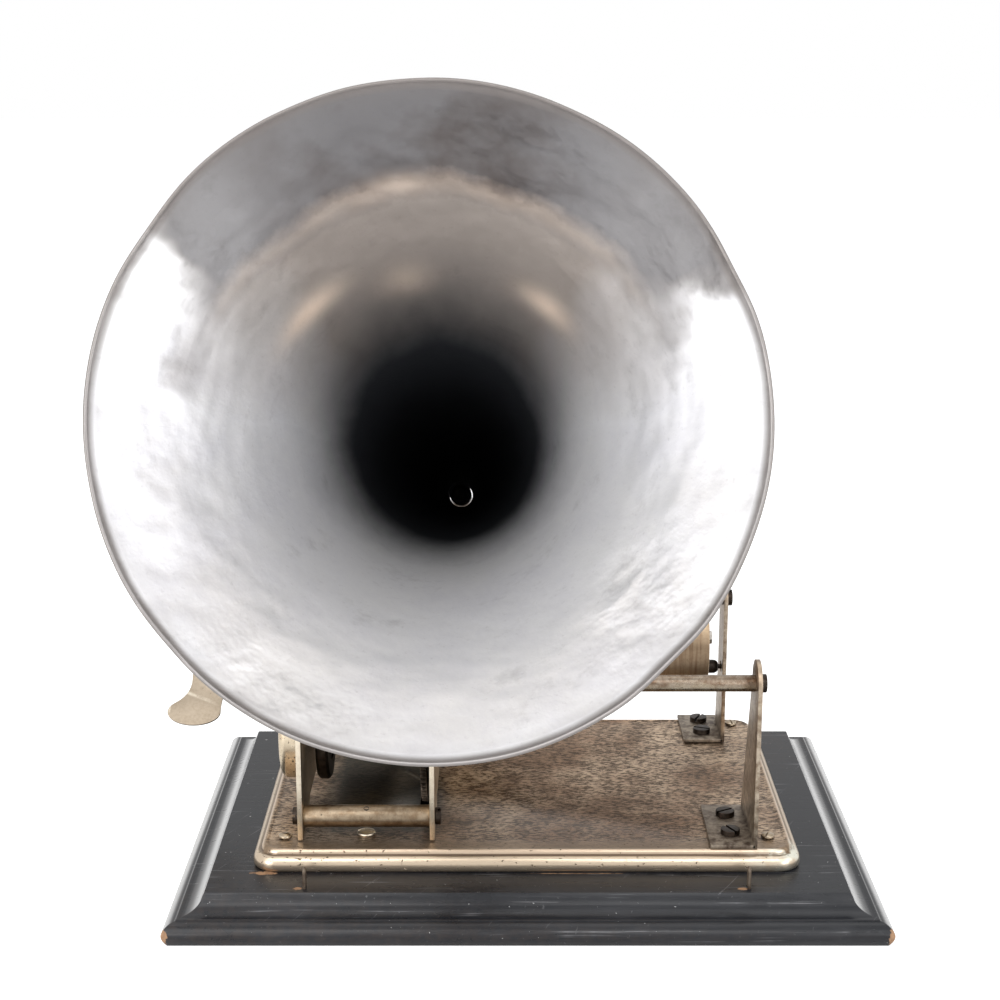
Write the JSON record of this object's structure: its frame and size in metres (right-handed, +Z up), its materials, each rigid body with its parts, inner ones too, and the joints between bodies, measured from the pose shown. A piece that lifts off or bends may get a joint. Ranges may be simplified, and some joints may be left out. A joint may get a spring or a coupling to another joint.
{
  "type": "cylinder phonograph",
  "caption": "Key-wound cylinder phonograph on a moulded wooden base, with an open spring motor, tapered mandrel, feed screw, lifting carriage and a flared metal horn.",
  "frame": {"origin": "middle of the wooden base's underside", "axes": "+X along the mandrel to the right, -Y towards the listener in front of the horn, +Z up"},
  "size_m": [0.2826, 0.4479, 0.3171],
  "materials": {
    "black_wood": "satin black paint on wood, scratched",
    "bed_nickel": "tarnished nickel plate, stippled with rust",
    "nickel": "tarnished nickel plate",
    "pale_nickel": "pale warm nickel plate",
    "steel": "bright steel",
    "black_steel": "dark browned steel",
    "brass": "dull cut brass",
    "mica": "clear mica",
    "rubber": "matt",
    "horn_aluminium": "brushed, dented, cloudy"
  },
  "bodies": {
    "root": {"wooden_base": "black_wood", "bedplate": "bed_nickel", "bed_screw_1": "nickel", "bed_screw_2": "nickel", "bed_screw_3": "nickel", "bed_screw_4": "nickel", "lid_eye_left": "nickel", "lid_eye_right": "nickel", "front_bracket": "nickel", "rear_bracket": "nickel", "bracket_screw_1": "black_steel", "bracket_screw_2": "black_steel", "bracket_screw_3": "black_steel", "bracket_screw_4": "black_steel", "front_rod": "nickel", "rear_rod": "nickel", "rod_screw_front": "black_steel", "rod_screw_rear": "black_steel", "motor_plate_left": "nickel", "motor_plate_right": "nickel", "front_pillar": "nickel", "pillar_screw_left": "black_steel", "pillar_screw_right": "black_steel", "rear_pillar": "nickel", "top_pillar": "nickel", "arbor_cover": "pale_nickel", "idler_stud": "steel"},
    "winding": {"winding_arbor": "steel", "ratchet_wheel": "steel", "winding_key": "pale_nickel"},
    "click": {"click_pawl": "black_steel"},
    "barrel": {"spring_barrel": "brass", "great_wheel": "brass", "mainspring": "steel"},
    "second": {"second_arbor": "steel", "second_wheel": "black_steel", "brake_disc": "black_steel"},
    "drum": {"mandrel_shaft": "steel", "mandrel": "nickel", "mandrel_wheel": "brass", "mandrel_feed_gear": "brass"},
    "governor": {"governor_spindle": "steel", "governor_disc": "steel", "governor_arm_1": "brass", "governor_arm_2": "brass", "governor_arm_3": "brass"},
    "idler": {"feed_idler": "brass"},
    "feed": {"feed_screw": "black_steel", "feed_screw_gear": "brass"},
    "brake": {"brake_lever": "nickel"},
    "carriage": {"carriage_sleeve": "nickel"},
    "lift": {"carriage_arm": "nickel", "half_nut": "brass", "reproducer_body": "nickel", "retaining_ring": "brass", "diaphragm": "mica", "diaphragm_gasket": "rubber", "stylus_lever": "steel"},
    "horn": {"horn_elbow": "horn_aluminium", "horn": "horn_aluminium"}
  },
  "joints": [
    {"name": "mandrel_spin", "type": "hinge", "parent": "root", "child": "drum", "pos_m": [0, 0.002, 0.0864], "axis": [1, 0, 0], "continuous": true},
    {"name": "second_spin", "type": "hinge", "parent": "root", "child": "second", "pos_m": [0, -0.008, 0.053], "axis": [1, 0, 0], "continuous": true},
    {"name": "barrel_spin", "type": "hinge", "parent": "root", "child": "barrel", "pos_m": [0, 0.03, 0.0648], "axis": [1, 0, 0], "continuous": true},
    {"name": "governor_spin", "type": "hinge", "parent": "root", "child": "governor", "pos_m": [0, -0.0221, 0.0864], "axis": [1, 0, 0], "continuous": true},
    {"name": "idler_spin", "type": "hinge", "parent": "root", "child": "idler", "pos_m": [0, 0.02404, 0.07029], "axis": [1, 0, 0], "continuous": true},
    {"name": "feed_spin", "type": "hinge", "parent": "root", "child": "feed", "pos_m": [0, 0.056, 0.0553], "axis": [1, 0, 0], "continuous": true},
    {"name": "key_wind", "type": "hinge", "parent": "root", "child": "winding", "pos_m": [0, 0.03, 0.0648], "axis": [1, 0, 0], "continuous": true},
    {"name": "click_swing", "type": "hinge", "parent": "root", "child": "click", "pos_m": [-0.09, 0.046, 0.078], "axis": [-1, 0, 0], "range_deg": [0, 15]},
    {"name": "brake_release", "type": "hinge", "parent": "root", "child": "brake", "pos_m": [-0.0806, -0.036, 0.084], "axis": [-1, 0, 0], "range_deg": [0, 12]},
    {"name": "carriage_slide", "type": "slide", "parent": "root", "child": "carriage", "axis": [1, 0, 0], "range_m": [0, 0.088]},
    {"name": "carriage_lift", "type": "hinge", "parent": "carriage", "child": "lift", "pos_m": [-0.0255, 0.05675, 0.0864], "axis": [-1, 0, 0], "range_deg": [0, 40]},
    {"name": "horn_swivel", "type": "hinge", "parent": "lift", "child": "horn", "pos_m": [-0.0255, 0.006, 0.1361], "axis": [0, 0, 1], "range_deg": [-25, 25]}
  ],
  "couplings": [
    {"joint": "second_spin", "follows": "mandrel_spin", "ratio": -0.16},
    {"joint": "barrel_spin", "follows": "mandrel_spin", "ratio": 0.043077},
    {"joint": "governor_spin", "follows": "mandrel_spin", "ratio": -5},
    {"joint": "idler_spin", "follows": "mandrel_spin", "ratio": -0.41667},
    {"joint": "feed_spin", "follows": "mandrel_spin", "ratio": 0.5}
  ]
}
